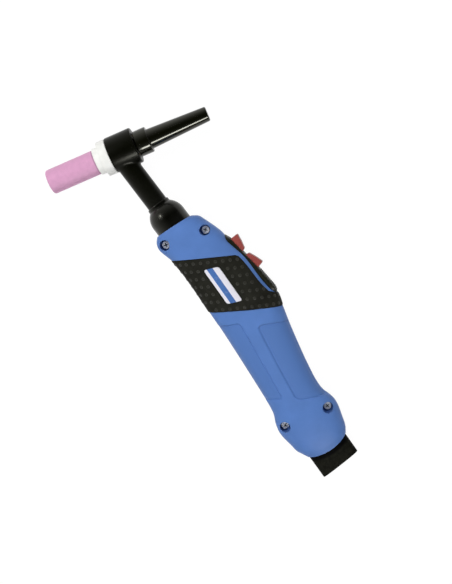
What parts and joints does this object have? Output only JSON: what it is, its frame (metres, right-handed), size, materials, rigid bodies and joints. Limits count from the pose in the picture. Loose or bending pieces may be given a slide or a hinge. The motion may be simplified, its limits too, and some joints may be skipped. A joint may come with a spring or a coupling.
{
  "type": "tig torch",
  "caption": "Hand TIG welding torch: ceramic nozzle and tall back cap on a slanted head, insulated neck, two-shell grip handle with rocker keys and a cable sleeve.",
  "frame": {"origin": "where the electrode axis, the collet's bore, meets the neck's axis", "axes": "+X back along the handle towards the cable sleeve, +Y to the side of the keys and the back cap, +Z square to the torch's plane of symmetry; the torch lies on its side"},
  "size_m": [0.3081, 0.1295, 0.0348],
  "materials": {
    "head_insulation": "satin moulded rubber-like plastic",
    "brass": "turned",
    "copper": "turned copper",
    "boot_rubber": "semi-gloss moulded",
    "inner_plastic": "matt moulded",
    "cap_plastic": "glossy moulded",
    "seal_rubber": "smooth",
    "gasket_white": "turned fluoropolymer",
    "pink_ceramic": "fine matt fired",
    "blue_shell": "fine eroded texture",
    "grip_rubber": "matt, moulded with small raised dots",
    "plate_white": "printed, glossy",
    "screw_steel": "zinc plated",
    "module_plastic": "matt, dotted thumb rest",
    "key_red": "satin moulded",
    "plunger_red": "smooth",
    "board_green": "solder mask",
    "plug_nylon": "nylon",
    "sleeve_rubber": "matt, leather-like grain"
  },
  "bodies": {
    "torch": {"torch_body": "head_insulation", "head_core": "brass", "neck_tube": "copper", "tail_fitting": "brass", "neck_boot": "boot_rubber", "neck_clamp": "inner_plastic", "collet_body": "copper", "handle_shell_left": "blue_shell", "handle_shell_right": "blue_shell", "grip_inlay_left": "grip_rubber", "grip_inlay_right": "grip_rubber", "label_plate": "plate_white", "shell_screws": "screw_steel", "shell_inserts": "brass", "switch_housing": "module_plastic", "key_pins": "screw_steel", "microswitch_front": "inner_plastic", "microswitch_rear": "inner_plastic", "switch_board": "board_green", "lead_plug": "plug_nylon", "cable_sleeve": "sleeve_rubber", "sleeve_ring": "inner_plastic"},
    "seal": {"cap_seal": "seal_rubber"},
    "cap": {"back_cap": "cap_plastic"},
    "collet": {"collet": "copper"},
    "gasket": {"nozzle_gasket": "gasket_white"},
    "nozzle": {"gas_nozzle": "pink_ceramic"},
    "front_key": {"key_front": "key_red"},
    "rear_key": {"key_rear": "key_red"},
    "front_plunger": {"plunger_front": "plunger_red"},
    "rear_plunger": {"plunger_rear": "plunger_red"}
  },
  "joints": [
    {"name": "cap_travel", "type": "slide", "parent": "torch", "child": "seal", "axis": [0.1702, 0.9854, 0], "range_m": [0, 0.005]},
    {"name": "cap_turn", "type": "hinge", "parent": "seal", "child": "cap", "pos_m": [0.00341, 0.01971, 0], "axis": [0.1702, 0.9854, 0], "range_deg": [0, 1800]},
    {"name": "collet_travel", "type": "slide", "parent": "torch", "child": "collet", "axis": [0.1702, 0.9854, 0], "range_m": [0, 0.005]},
    {"name": "nozzle_travel", "type": "slide", "parent": "torch", "child": "gasket", "axis": [-0.1702, -0.9854, 0], "range_m": [0, 0.005]},
    {"name": "nozzle_turn", "type": "hinge", "parent": "gasket", "child": "nozzle", "pos_m": [-0.00511, -0.02956, 0], "axis": [0.1702, 0.9854, 0], "range_deg": [0, 1440]},
    {"name": "front_key_press", "type": "hinge", "parent": "torch", "child": "front_key", "pos_m": [0.11062, 0.03683, 0], "axis": [0, 0, 1], "range_deg": [0, 7], "stiffness_Nm_per_rad": 0.25, "springref_deg": -2.86},
    {"name": "rear_key_press", "type": "hinge", "parent": "torch", "child": "rear_key", "pos_m": [0.11709, 0.03816, 0], "axis": [0, 0, -1], "range_deg": [0, 7], "stiffness_Nm_per_rad": 0.25, "springref_deg": -2.86},
    {"name": "front_plunger_travel", "type": "slide", "parent": "torch", "child": "front_plunger", "axis": [0.2011, -0.9796, 0], "range_m": [0, 0.0011]},
    {"name": "rear_plunger_travel", "type": "slide", "parent": "torch", "child": "rear_plunger", "axis": [0.2011, -0.9796, 0], "range_m": [0, 0.0011]}
  ],
  "couplings": [
    {"joint": "cap_turn", "follows": "cap_travel", "rad_per_m": 6283.2},
    {"joint": "collet_travel", "follows": "cap_travel", "ratio": 1},
    {"joint": "nozzle_turn", "follows": "nozzle_travel", "rad_per_m": 5026.5},
    {"joint": "front_plunger_travel", "follows": "front_key_press", "m_per_rad": 0.0085},
    {"joint": "rear_plunger_travel", "follows": "rear_key_press", "m_per_rad": 0.0085}
  ]
}
